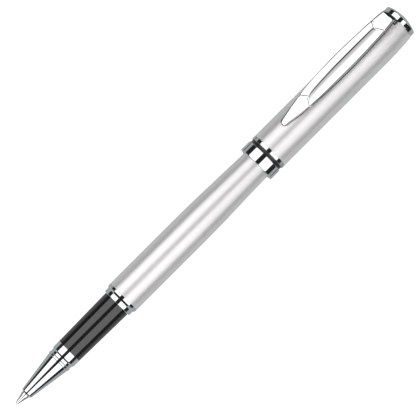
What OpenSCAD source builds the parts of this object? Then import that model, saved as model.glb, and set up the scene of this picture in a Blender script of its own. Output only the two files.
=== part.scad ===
// Capped rollerball pen with its cap posted on the rear of the barrel.
//
// Every sub-part is drawn along +Z, starting at the writing tip, with the clip towards +X.
// place() then lays the pen along the row's X axis, tip towards -X and clip on top.
// A name ending in _at is a distance from the writing tip, in millimetres.

/* [Refill] */
// Diameter of the writing ball
ball_d = 0.7; // [0.5:0.1:1]
// Length of the refill's point that stands out of the nose cone
point_out = 3.8; // [3:0.1:4.5]
// Diameter of the straight part of the refill's point
point_d = 2.44; // [2.3:0.02:2.5]
// Diameter of the refill's reservoir tube
refill_d = 6; // [5.8:0.1:6]
// Length of the refill from its ball to its rear plug
refill_len = 111.4; // [110:0.1:112]

/* [Section] */
// Length of the nose cone with its turned rings
nose_len = 17; // [16:0.1:18]
// Diameter of the nose cone's front edge
nose_front_d = 3.55; // [3.3:0.05:3.8]
// Diameter of the nose cone where the turned rings begin
nose_rear_d = 7.3; // [7.1:0.05:7.4]
// Length of the grip
grip_len = 18.65; // [18:0.05:19.5]
// Diameter of the grip at the nose cone
grip_front_d = 7.95; // [7.9:0.05:8.1]
// Diameter of the grip at the barrel
grip_rear_d = 8.6; // [8.4:0.05:8.8]
// Diameter of the trim ring behind the grip
trim_ring_d = 9.6; // [9.2:0.1:9.7]

/* [Barrel] */
// Diameter of the barrel's cylindrical stretch
barrel_d = 10.5; // [10.4:0.1:10.6]
// Length of the barrel tube's cylindrical stretch
barrel_straight = 25.2; // [24:0.1:26]
// Length of the barrel from its front ring to its rear end
barrel_len = 78.65; // [78.4:0.05:79]
// Angle of the barrel's rear taper
taper_angle = 1.65; // [1.6:0.01:1.7]
// Radius of the blend between cylinder and taper
taper_blend_r = 400; // [300:10:500]

/* [Cap] */
// Length of the cap from its mouth to the end of the finial
cap_len = 58.95; // [58.6:0.05:59.2]
// Distance from the writing tip to the mouth of the posted cap
cap_at = 94.45; // [94.4:0.05:94.8]
// Diameter of the cap tube
cap_d = 11.8; // [11.7:0.1:11.9]
// Diameter of the cap's two chrome rings
cap_ring_d = 11.85; // [11.85:0.05:12]
// Diameter of the finial
finial_d = 10.5; // [10.2:0.1:10.6]

/* [Clip] */
// Length of the clip arm
clip_len = 42.65; // [41:0.05:43.2]
// Width of the clip at its widest place
clip_w = 6.1; // [5.8:0.1:6.4]
// Height of the clip's top above the pen's axis
clip_top = 7.8; // [7.6:0.1:8]

/* [Hidden] */

$fn = 96;
eps = 0.01;

// Stations along the pen
nose_at = point_out;
grip_at = nose_at + nose_len;
trim_at = grip_at + grip_len;
barrel_at = trim_at + 1.4;
tube_at = barrel_at + 1.35;
taper_at = tube_at + barrel_straight;
barrel_end = barrel_at + barrel_len;
pen_len = cap_at + cap_len;
finial_at = pen_len - 2.7;
lip_end = cap_at + 3.5;            // rear edge of the wide ring at the cap's mouth
cap_trim_at = lip_end + 1;         // front edge of the narrow ring
cap_tube_at = cap_trim_at + 1.1;
cap_tube_end = finial_at - 0.08;
bush_end = tube_at + 7.5;          // end of the threaded bush
cap_bush_at = cap_at + 1;
cap_bush_end = cap_tube_at + 5.5;
core_at = grip_at - 2.2;           // the core's front end, inside the nose cone
adapter_at = 8.5;                  // front end of the refill's adapter
flange_at = 17.6;                  // the adapter's flange: its front face ...
refill_tube_at = 19.2;             // ... and where the reservoir tube takes over
plug_at = refill_len - 3.5;        // front end of the plug inside the reservoir tube
tube_rim = refill_len - 0.4;       // rear end of the reservoir tube
tail_at = barrel_end - 2.8;        // front end of the barrel's tail plug
tail_rim = barrel_end - 0.8;       // rear end of the barrel tube
liner_end = cap_at + 46;           // closed end of the cap's liner

// Shared radii and clearances
wall = 0.55;              // wall of the barrel and cap tubes
run_gap = 0.05;           // clearance of parts that slide or turn in each other
neck_r = 3.55;            // outside of the section core under the grip
core_bore_r = refill_d / 2 + 0.06;
thread_r = 4.2;           // male screw of the section
bush_r = 4.75;            // outside of the threaded bush in the barrel
tube_bore_r = refill_d / 2 - 0.4;
wick_r = 0.9;
wick_end = 29.8;
cap_end_wall = 0.5;       // wall of the cap tube's curved end
cap_bore_r = cap_d / 2 - cap_end_wall;
mouth_r = 4.9;            // inside of the cap's mouth
ring_seat_r = 5.3;        // seat of the two chrome rings on the cap bush
stud_r = 1.5;
stud_len = 1.25;          // depth of the stud in the finial
seal_r = 2.6;             // seat of the soft plug in the cap's liner
retainer_len = 6.5;

// Outer radius of the barrel at a distance s from the tip: cylinder, arc, then cone
blend_len = taper_blend_r * sin(taper_angle);
blend_drop = taper_blend_r * (1 - cos(taper_angle));
function barrel_r(s) =
    s < taper_at ? barrel_d / 2
    : s < taper_at + blend_len
        ? barrel_d / 2 - taper_blend_r + sqrt(pow(taper_blend_r, 2) - pow(s - taper_at, 2))
    : barrel_d / 2 - blend_drop - (s - taper_at - blend_len) * tan(taper_angle);

// Outer radius of the cap tube: cylinder, then an arc that closes in towards the finial
cap_curve_at = cap_tube_end - 10.5;
cap_curve_r = 116;
function cap_r(s) =
    s < cap_curve_at ? cap_d / 2
    : cap_d / 2 - cap_curve_r + sqrt(pow(cap_curve_r, 2) - pow(s - cap_curve_at, 2));

// Lays the pen along X with the clip side up, standing on the cap rings
module place() {
    translate([-pen_len / 2, 0, cap_ring_d / 2])
        rotate([0, 90, 0])
            rotate([0, 0, 180])
                children();
}

// A turned piece: points are [radius, distance from the tip]
module turned(points) {
    place() rotate_extrude() polygon(points);
}

// A plain ring or disc between two stations
module ring(from, to, outer_r, inner_r = 0) {
    turned([[inner_r, from], [outer_r, from], [outer_r, to], [inner_r, to]]);
}

// ---------------------------------------------------------------- refill

// Tungsten carbide ball in its socket
module writing_ball() {
    color("dimgray") place() translate([0, 0, ball_d / 2]) sphere(d = ball_d, $fn = 48);
}

// Metal point: a cone with the ball socket, then a straight shank into the adapter
module refill_point() {
    rim_at = ball_d / 4;
    rim_r = ball_d / 2 + 0.07;
    cone_end = point_out - 0.6;
    shank_end = adapter_at + 2.5;
    channel_r = 0.3;
    color("silver")
        difference() {
            turned([[0, rim_at], [rim_r, rim_at], [point_d / 2, cone_end],
                    [point_d / 2, shank_end], [0, shank_end]]);
            place() translate([0, 0, ball_d / 2]) sphere(d = ball_d + 0.03, $fn = 48);
            ring(ball_d / 2, shank_end + eps, channel_r);
        }
}

// Moulded front of the refill; its flange rests on the nose cone's inner shoulder
module refill_adapter() {
    shank_r = 2;
    color("ivory")
        turned([[point_d / 2, adapter_at], [shank_r - 0.3, adapter_at],
                [shank_r, adapter_at + 0.3], [shank_r, flange_at], [refill_d / 2, flange_at],
                [refill_d / 2, refill_tube_at], [tube_bore_r, refill_tube_at],
                [tube_bore_r, refill_tube_at + 3.8], [wick_r, refill_tube_at + 3.8],
                [wick_r, adapter_at + 2.5], [point_d / 2, adapter_at + 2.5]]);
}

// Metal reservoir tube
module refill_tube() {
    color("gainsboro") ring(refill_tube_at, tube_rim, refill_d / 2, tube_bore_r);
}

// Fibre core soaked with ink, with a hole in front for the wick
module ink_reservoir() {
    from = refill_tube_at + 4.3;
    color("midnightblue")
        turned([[wick_r, from], [tube_bore_r, from], [tube_bore_r, plug_at - 0.5],
                [0, plug_at - 0.5], [0, wick_end + 0.2], [wick_r, wick_end + 0.2]]);
}

// Wick: thin through the point's channel, thick in the adapter and the reservoir
module feed_wick() {
    thin_r = 0.25;
    thick_at = adapter_at + 2.7;
    color("white")
        turned([[0, 1], [thin_r, 1], [thin_r, thick_at], [wick_r, thick_at],
                [wick_r, wick_end], [0, wick_end]]);
}

// Plug that closes the reservoir tube
module refill_plug() {
    color("black")
        turned([[0, plug_at], [tube_bore_r, plug_at], [tube_bore_r, tube_rim],
                [refill_d / 2, tube_rim], [refill_d / 2, refill_len], [0, refill_len]]);
}

// ---------------------------------------------------------------- section

// Turned nose cone: long cone, bead, dark groove and base ring
module nose_cone() {
    front_r = nose_front_d / 2;
    rear_r = nose_rear_d / 2;
    base_r = rear_r + 0.32;
    bead_at = grip_at - 4.6;
    groove_at = grip_at - 2.95;
    bore_r = 1.3;
    shank_bore_r = 2.1;
    shoulder_at = flange_at - 0.15;
    color("silver")
        turned([
            [bore_r, nose_at], [front_r - 0.15, nose_at], [front_r, nose_at + 0.15],
            [rear_r, bead_at], [rear_r + 0.12, bead_at + 0.3], [rear_r + 0.17, bead_at + 0.55],
            [rear_r + 0.12, bead_at + 0.72], [rear_r + 0.03, bead_at + 0.76],
            [rear_r + 0.1, bead_at + 0.8], [rear_r + 0.04, bead_at + 1.1],
            [rear_r + 0.04, groove_at], [rear_r - 0.15, groove_at + 0.05],
            [rear_r - 0.15, groove_at + 0.33], [base_r - 0.2, groove_at + 0.37],
            [base_r, groove_at + 0.65], [base_r, grip_at], [neck_r, grip_at],
            [neck_r, core_at], [core_bore_r, core_at], [core_bore_r, shoulder_at],
            [shank_bore_r, shoulder_at], [shank_bore_r, adapter_at - 0.3],
            [bore_r, adapter_at - 0.9]
        ]);
}

// Glossy grip sleeve on the section core
module grip_sleeve() {
    color("black")
        turned([[neck_r, grip_at], [grip_front_d / 2 - 0.1, grip_at],
                [grip_front_d / 2, grip_at + 0.1], [grip_rear_d / 2, trim_at - 0.1],
                [grip_rear_d / 2 - 0.1, trim_at], [neck_r, trim_at]]);
}

// Aluminium tube that carries the nose cone and grip, with the male screw at its rear
module section_core() {
    screw_at = tube_at + 0.1;
    screw_end = screw_at + 5.9;
    color("darkgray")
        turned([[core_bore_r, core_at], [neck_r, core_at], [neck_r, screw_at],
                [thread_r, screw_at + 0.3], [thread_r, screw_end - 0.4],
                [thread_r - 0.4, screw_end], [core_bore_r, screw_end]]);
}

// Rubber ring that seals and locks the screw joint
module section_o_ring() {
    cord_r = 0.33;
    color("black")
        place()
            translate([0, 0, tube_at - 0.6])
                rotate_extrude() translate([neck_r + cord_r, 0]) circle(r = cord_r, $fn = 32);
}

// Loose chrome ring held between the grip and the barrel
module section_trim_ring() {
    edge = 0.12;
    outer_r = trim_ring_d / 2;
    from = trim_at + run_gap;
    to = barrel_at - 0.1;
    color("silver")
        turned([[neck_r + 0.1, from], [outer_r - edge, from], [outer_r, from + edge],
                [outer_r, to - edge], [outer_r - edge, to], [neck_r + 0.1, to]]);
}

// ---------------------------------------------------------------- barrel

// Chrome ring at the barrel's mouth, with a conical front
module barrel_front_ring() {
    cone_len = 0.5;
    inner_r = thread_r + 0.1;
    color("silver")
        turned([[inner_r, barrel_at], [trim_ring_d / 2, barrel_at],
                [barrel_d / 2, barrel_at + cone_len], [barrel_d / 2, tube_at],
                [bush_r, tube_at], [bush_r, tube_at - 0.6], [inner_r, tube_at - 0.6]]);
}

// Brass bush with the female screw, fixed in the barrel's mouth
module thread_bush() {
    color("goldenrod") ring(tube_at - 0.6, bush_end, bush_r, thread_r + run_gap);
}

// Satin barrel tube: cylinder, blend and taper, with a constant wall behind the bush
module barrel_tube() {
    blend_steps = 8;
    outer = [
        for (i = [0 : blend_steps])
            let (s = taper_at + blend_len * i / blend_steps) [barrel_r(s), s],
        [barrel_r(tail_rim), tail_rim]
    ];
    inner = [for (i = [len(outer) - 1 : -1 : 0]) outer[i] - [wall, 0]];
    color("lightgray")
        turned(concat(
            [[bush_r, tube_at], [barrel_d / 2, tube_at]],
            outer,
            inner,
            [[barrel_d / 2 - wall, bush_end], [bush_r, bush_end]]
        ));
}

// Plug that closes the barrel's rear end and carries the spring
module barrel_tail_plug() {
    pilot_r = 1.6;
    pilot_len = 1;
    bevel = 0.5;
    color("dimgray")
        turned([[0, tail_at - pilot_len], [pilot_r, tail_at - pilot_len], [pilot_r, tail_at],
                [barrel_r(tail_at) - wall, tail_at], [barrel_r(tail_rim) - wall, tail_rim],
                [barrel_r(tail_rim), tail_rim], [barrel_r(tail_rim) - bevel, barrel_end],
                [0, barrel_end]]);
}

// Helical spring between the tail plug and the refill
module refill_spring() {
    wire_r = 0.16;
    coil_r = 2.3;
    turns = 5;
    steps = 16 * turns;
    sides = 8;
    low = refill_len + wire_r + 0.02;
    high = tail_at - wire_r - 0.02;
    points = [
        for (i = [0 : steps])
            let (a = 360 * turns * i / steps, z = low + (high - low) * i / steps)
                for (j = [0 : sides - 1])
                    let (b = 360 * j / sides, r = coil_r + wire_r * cos(b))
                        [r * cos(a), r * sin(a), z + wire_r * sin(b)]
    ];
    skin = [
        for (i = [0 : steps - 1])
            for (j = [0 : sides - 1])
                let (k = (j + 1) % sides, p = i * sides)
                    [p + j, p + k, p + sides + k, p + sides + j]
    ];
    start = [for (j = [sides - 1 : -1 : 0]) j];
    end = [for (j = [0 : sides - 1]) steps * sides + j];
    color("silver") place() polyhedron(points, concat(skin, [start, end]), convexity = 10);
}

// ---------------------------------------------------------------- cap

// Wide chrome ring at the cap's mouth, with rounded edges
module cap_lip_ring() {
    edge = 0.3;
    outer_r = cap_ring_d / 2;
    steps = 4;
    color("silver")
        turned(concat(
            [[mouth_r, cap_at]],
            [for (i = [0 : steps]) let (a = 90 * i / steps)
                [outer_r - edge + edge * sin(a), cap_at + edge - edge * cos(a)]],
            [for (i = [0 : steps]) let (a = 90 * i / steps)
                [outer_r - edge + edge * cos(a), lip_end - edge + edge * sin(a)]],
            [[ring_seat_r, lip_end], [ring_seat_r, cap_bush_at], [mouth_r, cap_bush_at]]
        ));
}

// Narrow chrome ring between the dark groove and the cap tube
module cap_trim_ring() {
    edge = 0.2;
    outer_r = cap_ring_d / 2;
    color("silver")
        turned([[ring_seat_r, cap_trim_at], [outer_r - edge, cap_trim_at],
                [outer_r, cap_trim_at + edge], [outer_r, cap_tube_at - edge / 2],
                [outer_r - edge / 2, cap_tube_at], [ring_seat_r, cap_tube_at]]);
}

// Bush pressed into the cap tube; it carries both rings and shows between them
module cap_bush() {
    groove_r = cap_ring_d / 2 - 0.39;
    color("dimgray")
        turned([[mouth_r, cap_bush_at], [ring_seat_r, cap_bush_at], [ring_seat_r, lip_end],
                [groove_r, lip_end], [groove_r, cap_trim_at], [ring_seat_r, cap_trim_at],
                [ring_seat_r, cap_tube_at], [cap_bore_r, cap_tube_at],
                [cap_bore_r, cap_bush_end], [mouth_r, cap_bush_end]]);
}

// Tongue at the clip's root, and the room round it
tongue_w = 4.1;
tongue_t = 0.65;
tongue_at = finial_at - 1.25;
tongue_root_r = 4;
tongue_room = 0.28;

// Cuts the notch that the clip's tongue passes through
module tongue_notch() {
    notch_at = tongue_at - tongue_room;
    place()
        translate([tongue_root_r - tongue_room, -tongue_w / 2 - tongue_room, notch_at])
            cube([4, tongue_w + 2 * tongue_room, finial_at - notch_at + 1]);
}

// Satin cap tube with its curved-in end and the notch for the clip
module cap_tube() {
    steps = 8;
    curve = [
        for (i = [0 : steps])
            let (s = cap_curve_at + (cap_tube_end - cap_curve_at) * i / steps) [cap_r(s), s]
    ];
    inner = [for (i = [steps : -1 : 1]) curve[i] - [cap_end_wall, 0]];
    color("lightgray")
        difference() {
            turned(concat(
                [[cap_bore_r, cap_tube_at], [cap_d / 2, cap_tube_at]],
                curve, inner,
                [[cap_bore_r, cap_curve_at]]
            ));
            tongue_notch();
        }
}

// Plastic inner cap: grips the posted barrel, or the section when the pen is closed
module cap_liner() {
    front_at = cap_at + 7.9;
    grip_r = 4.45;
    step_at = cap_at + 22;
    step_r = 4.05;
    taper_from = cap_at + 38;
    color("whitesmoke")
        turned([[grip_r, front_at], [mouth_r, front_at], [mouth_r, cap_bush_end],
                [cap_bore_r, cap_bush_end], [cap_bore_r, liner_end - 3],
                [cap_bore_r - 1, liner_end], [0, liner_end], [0, liner_end - 1],
                [seal_r, liner_end - 1], [seal_r, liner_end - 2.5], [step_r, taper_from],
                [step_r, step_at], [grip_r, step_at - 0.4]]);
}

// Soft plug that closes round the writing tip in the capped pen
module tip_seal() {
    end_at = liner_end - 1;
    from = end_at - 2.2;
    cup_r = 0.9;
    bevel = 0.3;
    color("dimgray")
        turned([[0, from + 0.6], [cup_r, from], [seal_r - bevel, from], [seal_r, from + bevel],
                [seal_r, end_at], [0, end_at]]);
}

// Metal plug in the cap's end that carries the clip and the finial
module clip_retainer() {
    from = cap_tube_end - retainer_len;
    steps = 6;
    side = [
        for (i = [0 : steps])
            let (s = from + retainer_len * i / steps) [cap_r(s) - cap_end_wall, s]
    ];
    color("dimgray")
        difference() {
            turned(concat([[stud_r, from]], side, [[side[steps][0], finial_at],
                                                   [stud_r, finial_at]]));
            tongue_notch();
        }
}

// Chrome end button: a short band, a rounded edge and a dome
module finial() {
    band = 1.4;
    edge = 0.22;
    bevel = 0.1;
    top_r = finial_d / 2 - edge;
    rise = pen_len - finial_at - band - edge;
    dome_r = (pow(top_r, 2) + pow(rise, 2)) / (2 * rise);
    steps = 10;
    color("silver")
        turned(concat(
            [[stud_r, finial_at], [finial_d / 2 - bevel, finial_at],
             [finial_d / 2, finial_at + bevel], [finial_d / 2, finial_at + band]],
            [for (i = [1 : 2]) [top_r + edge * cos(30 * i), finial_at + band + edge * sin(30 * i)]],
            [for (i = [0 : steps]) let (r = top_r * (1 - i / steps))
                [r, pen_len - dome_r + sqrt(pow(dome_r, 2) - pow(r, 2))]],
            [[0, finial_at + stud_len], [stud_r, finial_at + stud_len]]
        ));
}

// Screw that pulls finial, retainer and clip together
module finial_stud() {
    head_end = cap_tube_end - retainer_len;
    head_at = head_end - 1.5;
    head_r = 3.2;
    slot_w = 0.7;
    slot_depth = 0.6;
    stud_end = finial_at + stud_len;
    color("goldenrod")
        difference() {
            turned([[0, head_at], [head_r - 0.3, head_at], [head_r, head_at + 0.3],
                    [head_r, head_end], [stud_r, head_end], [stud_r, stud_end], [0, stud_end]]);
            place()
                translate([-head_r - 1, -slot_w / 2, head_at - 1])
                    cube([2 * head_r + 2, slot_w, slot_depth + 1]);
        }
}

// ---------------------------------------------------------------- clip

clip_end = finial_at - 0.95;
clip_at = clip_end - clip_len;
leaf_at = clip_at + 9.3;        // the lower chevron's legs meet the leaf's edges
leaf_end = clip_end - 4.25;     // the upper chevron's legs meet the leaf's edges
low_apex = leaf_at + 1.4;
high_apex = leaf_end - 1.2;
low_apex_h = clip_top - 0.85;   // height of the leaf at the lower chevron
clip_under = cap_d / 2 + 0.45;  // height of the clip's underside
pad_r = 1.05;

// Outline seen from above: rounded pad, widening neck, bulging leaf and narrowing head
module clip_outline() {
    low_w = 4.3;
    high_w = 4.75;
    end_w = 4.1;
    leaf_len = leaf_end - leaf_at;
    bulge = clip_w / 2 - (low_w + high_w) / 4;
    steps = 16;
    side = [
        for (i = [0 : steps])
            let (u = i / steps)
                [leaf_at + leaf_len * u, (low_w * (1 - u) + high_w * u) / 2 + bulge * sin(180 * u)]
    ];
    half = concat([[clip_at + pad_r, pad_r]], side, [[clip_end + tongue_t, end_w / 2]]);
    mirrored = [for (i = [len(half) - 1 : -1 : 0]) [half[i][0], -half[i][1]]];
    translate([clip_at + pad_r, 0]) circle(r = pad_r, $fn = 48);
    polygon(concat(half, mirrored));
}

// Side view of the arm: [height above the axis, distance from the tip]
module clip_side() {
    touch = cap_d / 2 + 0.04;
    tongue_end = tongue_at + tongue_t;
    polygon([
        [touch, clip_at], [clip_top - 1.6, clip_at], [clip_top - 1.15, clip_at + 2],
        [low_apex_h - 0.06, leaf_at], [clip_top - 0.4, low_apex + 5],
        [clip_top, low_apex + 12],
        [clip_top, clip_end - 1], [clip_top - 0.15, clip_end - 0.25],
        [clip_top - 0.5, clip_end], [clip_top - 1.1, tongue_end],
        [clip_under, tongue_end], [clip_under, clip_at + 10], [touch, clip_at + 5.5]
    ]);
}

// One half of the flute's cutter: a slim spindle, thickest where the two halves meet
module half_flute(turn, drop) {
    length = (high_apex - low_apex) / 2;
    above = 2.05;
    depth = 0.3;
    overlap = 0.5;
    steps = 6;
    place()
        translate([clip_top + above, 0, low_apex + length])
            rotate([turn, 0, 0])
                rotate([0, -atan(drop / length), 0]) rotate_extrude()
                    polygon(concat(
                        [[0, length], [0, -overlap], [above + depth, -overlap]],
                        [for (i = [0 : steps]) let (u = i / steps)
                            [above + depth * (1 - u * u), length * u]]
                    ));
}

// One leg pair of a crease across the clip's top
module chevron(apex, height, tilt) {
    crease = 0.18;
    leg = 4;
    for (side = [-1, 1])
        place()
            translate([height, 0, apex])
                rotate([side * tilt, 0, 0])
                    translate([0, side > 0 ? 0 : -leg, 0])
                        rotate([0, 45, 0]) translate([-crease, 0, -crease])
                            cube([2 * crease, leg, 2 * crease]);
}

// Spring clip: leaf arm with a central flute, two chevron creases and a root tongue
module clip() {
    arm_h = 5;
    color("silver")
        difference() {
            union() {
                intersection() {
                    place()
                        translate([clip_top + 1, 0, 0])
                            rotate([0, -90, 0]) linear_extrude(height = arm_h) clip_outline();
                    place()
                        translate([0, clip_w, 0])
                            rotate([90, 0, 0]) linear_extrude(height = 2 * clip_w) clip_side();
                }
                place()
                    translate([tongue_root_r, -tongue_w / 2, tongue_at])
                        cube([clip_under + 0.2 - tongue_root_r, tongue_w, tongue_t]);
            }
            half_flute(0, 0);
            half_flute(180, clip_top - low_apex_h);
            chevron(low_apex, low_apex_h, -30);
            chevron(high_apex, clip_top, 24);
        }
}

barrel_tube();
barrel_front_ring();
thread_bush();
barrel_tail_plug();
refill_spring();
section_trim_ring();
section_core();
grip_sleeve();
nose_cone();
section_o_ring();
refill_point();
refill_adapter();
refill_tube();
ink_reservoir();
feed_wick();
refill_plug();
writing_ball();
cap_tube();
cap_lip_ring();
cap_trim_ring();
cap_bush();
cap_liner();
tip_seal();
clip_retainer();
finial();
finial_stud();
clip();
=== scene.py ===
"""Looks of the capped rollerball pen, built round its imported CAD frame.

Stations are millimetres from the writing tip along the pen, radii are millimetres from its axis.
Angles round the pen are measured from the camera's side.
"""

import math

import bmesh
import bpy
from mathutils import Matrix, Vector


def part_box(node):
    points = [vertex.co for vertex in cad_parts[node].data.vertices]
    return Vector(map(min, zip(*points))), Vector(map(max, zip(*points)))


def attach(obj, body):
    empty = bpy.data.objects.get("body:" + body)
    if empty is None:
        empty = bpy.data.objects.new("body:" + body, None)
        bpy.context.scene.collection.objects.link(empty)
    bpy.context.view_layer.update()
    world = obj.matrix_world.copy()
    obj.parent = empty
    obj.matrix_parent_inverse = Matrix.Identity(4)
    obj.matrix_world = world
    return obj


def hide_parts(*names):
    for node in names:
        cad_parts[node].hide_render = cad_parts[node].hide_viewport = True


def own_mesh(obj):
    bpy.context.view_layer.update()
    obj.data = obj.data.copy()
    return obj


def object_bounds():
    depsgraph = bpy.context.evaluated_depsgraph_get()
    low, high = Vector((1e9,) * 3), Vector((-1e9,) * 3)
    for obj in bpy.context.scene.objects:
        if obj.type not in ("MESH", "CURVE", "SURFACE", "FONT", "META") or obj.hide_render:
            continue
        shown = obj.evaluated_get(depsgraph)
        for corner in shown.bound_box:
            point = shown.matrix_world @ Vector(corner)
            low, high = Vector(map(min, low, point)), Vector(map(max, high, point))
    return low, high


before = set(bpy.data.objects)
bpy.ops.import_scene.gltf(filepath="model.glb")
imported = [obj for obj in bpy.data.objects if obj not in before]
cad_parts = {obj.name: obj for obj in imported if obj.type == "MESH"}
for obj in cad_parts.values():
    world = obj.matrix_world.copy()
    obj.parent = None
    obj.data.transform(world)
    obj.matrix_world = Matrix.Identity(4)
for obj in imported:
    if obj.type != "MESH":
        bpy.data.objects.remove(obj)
CAD_BOX = [list(corner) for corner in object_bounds()]

MM = 0.001
SCENE = bpy.context.scene
TIP_X = CAD_BOX[0][0]
AXIS_Z = sum(corner.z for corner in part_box("cap_lip_ring")) / 2


# ---------------------------------------------------------------- places

def span(node):
    """First and last station of a CAD node."""
    low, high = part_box(node)
    return (low.x - TIP_X) / MM, (high.x - TIP_X) / MM


def radius(node):
    """Outer radius of a turned CAD node."""
    low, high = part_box(node)
    return (high.y - low.y) / 2 / MM


def point(station, across, above):
    """A place on the pen: across towards +Y, above the axis towards the clip."""
    return Vector((TIP_X + station * MM, across * MM, AXIS_Z + above * MM))


# ---------------------------------------------------------------- materials

def new_material(name):
    mat = bpy.data.materials.new(name)
    mat.use_nodes = True
    return mat, mat.node_tree.nodes, mat.node_tree.links


def noise(nodes, links, scale, stretch=(1, 1, 1), detail=4.0):
    """Noise in the pen's own coordinates, scale in features per metre."""
    where = nodes.new("ShaderNodeTexCoord")
    mapping = nodes.new("ShaderNodeMapping")
    mapping.inputs["Scale"].default_value = stretch
    links.new(where.outputs["Object"], mapping.inputs["Vector"])
    texture = nodes.new("ShaderNodeTexNoise")
    texture.inputs["Scale"].default_value = scale
    texture.inputs["Detail"].default_value = detail
    links.new(mapping.outputs["Vector"], texture.inputs["Vector"])
    return texture.outputs["Fac"]


def between(nodes, links, factor, low, high, start=0.3, end=0.7):
    """A value that runs from low to high as factor runs from start to end."""
    ramp = nodes.new("ShaderNodeMapRange")
    ramp.inputs["From Min"].default_value = start
    ramp.inputs["From Max"].default_value = end
    ramp.inputs["To Min"].default_value = low
    ramp.inputs["To Max"].default_value = high
    links.new(factor, ramp.inputs["Value"])
    return ramp.outputs["Result"]


def blend_colours(nodes, links, factor, low, high, start=0.35, end=0.65):
    """A colour that runs from low to high as factor runs from start to end."""
    ramp = nodes.new("ShaderNodeValToRGB")
    ramp.color_ramp.elements[0].position = start
    ramp.color_ramp.elements[0].color = (*low, 1)
    ramp.color_ramp.elements[1].position = end
    ramp.color_ramp.elements[1].color = (*high, 1)
    links.new(factor, ramp.inputs["Fac"])
    return ramp.outputs["Color"]


def finish_material(name, low, high, rough, metallic=0.0, grain=900.0, stretch=(1, 1, 1),
                    rough_grain=None, bump=0.0, bump_grain=None, bump_stretch=None, ior=1.5,
                    bump_size=0.00002, coat=0.0, coat_rough=0.05):
    """A finish whose colour runs between low and high and whose roughness runs over rough."""
    mat, nodes, links = new_material(name)
    shader = nodes["Principled BSDF"]
    shader.inputs["Metallic"].default_value = metallic
    shader.inputs["IOR"].default_value = ior
    shader.inputs["Coat Weight"].default_value = coat
    shader.inputs["Coat Roughness"].default_value = coat_rough
    fine = noise(nodes, links, grain, stretch)
    links.new(blend_colours(nodes, links, fine, low, high), shader.inputs["Base Color"])
    patches = noise(nodes, links, rough_grain or grain / 3, stretch)
    links.new(between(nodes, links, patches, *rough), shader.inputs["Roughness"])
    if bump:
        relief = nodes.new("ShaderNodeBump")
        relief.inputs["Strength"].default_value = bump
        relief.inputs["Distance"].default_value = bump_size
        height = noise(nodes, links, bump_grain or grain, bump_stretch or stretch)
        links.new(height, relief.inputs["Height"])
        links.new(relief.outputs["Normal"], shader.inputs["Normal"])
    return mat


CHROME = finish_material("chrome_plate", (0.685, 0.695, 0.705), (0.715, 0.725, 0.735),
                         (0.012, 0.03), metallic=1.0, grain=1500, rough_grain=220)
CLIP_CHROME = finish_material("clip_chrome", (0.695, 0.70, 0.705), (0.725, 0.73, 0.735),
                              (0.015, 0.04), metallic=1.0, grain=1500, rough_grain=260)

# the clip's flute: the mesh attribute that holds the place across it, in millimetres where it is
# widest, its -Y and +Y edges there, and the painted shade that darkens its chrome between them,
# standing in for the shading that light on the flute's shape would give
FLUTE_ACROSS = "flute_across"
FLUTE_EDGES = (-1.75, 1.28)
FLUTE_PAINTED_SHADE_STOPS = [(-0.98, (0.9, 0.9, 0.9)), (-0.62, (0.635, 0.635, 0.635)), (-0.3, (0.5, 0.49, 0.49)),
               (0.0, (0.45, 0.44, 0.44)), (0.34, (0.405, 0.39, 0.39)), (0.42, (0.24, 0.24, 0.24)),
               (0.66, (0.24, 0.24, 0.24)), (0.76, (0.45, 0.455, 0.46)), (0.98, (0.9, 0.9, 0.9))]


def flute_painted_shade_material():
    """Polished chrome, darkened by painted shade according to the place across the flute."""
    mat = finish_material("flute_chrome_painted_shade", (0.69, 0.69, 0.69), (0.72, 0.72, 0.72), (0.02, 0.04),
                          metallic=1.0, grain=1500, rough_grain=260)
    nodes, links = mat.node_tree.nodes, mat.node_tree.links
    shader = nodes["Principled BSDF"]
    across = nodes.new("ShaderNodeAttribute")
    across.attribute_name = FLUTE_ACROSS
    low, high = FLUTE_EDGES
    place = between(nodes, links, across.outputs["Fac"], 0.0, 1.0, low, high)
    # painted shade across the flute, multiplied into the chrome's colour
    painted_shade = nodes.new("ShaderNodeValToRGB")
    elements = painted_shade.color_ramp.elements
    elements[0].color = elements[1].color = (1, 1, 1, 1)
    for y, shade in FLUTE_PAINTED_SHADE_STOPS:
        elements.new((y - low) / (high - low)).color = (*shade, 1)
    links.new(place, painted_shade.inputs["Fac"])
    mix = nodes.new("ShaderNodeMix")
    mix.data_type = "RGBA"
    mix.blend_type = "MULTIPLY"
    mix.inputs["Factor"].default_value = 1.0
    links.new(shader.inputs["Base Color"].links[0].from_socket, mix.inputs["A"])
    links.new(painted_shade.outputs["Color"], mix.inputs["B"])
    links.new(mix.outputs["Result"], shader.inputs["Base Color"])
    return mat


# the clip flute's chrome, with painted shade across it
FLUTE_CHROME_PAINTED_SHADE = flute_painted_shade_material()
SATIN = finish_material("satin_silver_lacquer", (0.88, 0.865, 0.865), (0.92, 0.905, 0.905),
                        (0.36, 0.39), metallic=0.6, grain=5200, rough_grain=900,
                        bump=0.10, bump_grain=9000)
GRIP = finish_material("gloss_black_lacquer", (0.0130, 0.0130, 0.0133), (0.0150, 0.0150, 0.0153),
                       (0.03, 0.05), grain=1400, rough_grain=300, ior=1.65)
DARK = finish_material("dark_plated_groove", (0.045, 0.047, 0.048), (0.07, 0.072, 0.073),
                       (0.28, 0.4), metallic=0.8, grain=2200, stretch=(6, 1, 1))
STEEL = finish_material("turned_stainless", (0.70, 0.70, 0.69), (0.80, 0.80, 0.79),
                        (0.05, 0.09), metallic=1.0, grain=1800, stretch=(14, 1, 1),
                        bump=0.08, bump_grain=2600, bump_stretch=(20, 1, 1))
BRASS = finish_material("turned_brass", (0.68, 0.46, 0.17), (0.80, 0.58, 0.26), (0.16, 0.3),
                        metallic=1.0, grain=1200, stretch=(16, 1, 1),
                        bump=0.3, bump_grain=2400, bump_stretch=(22, 1, 1))
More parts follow.
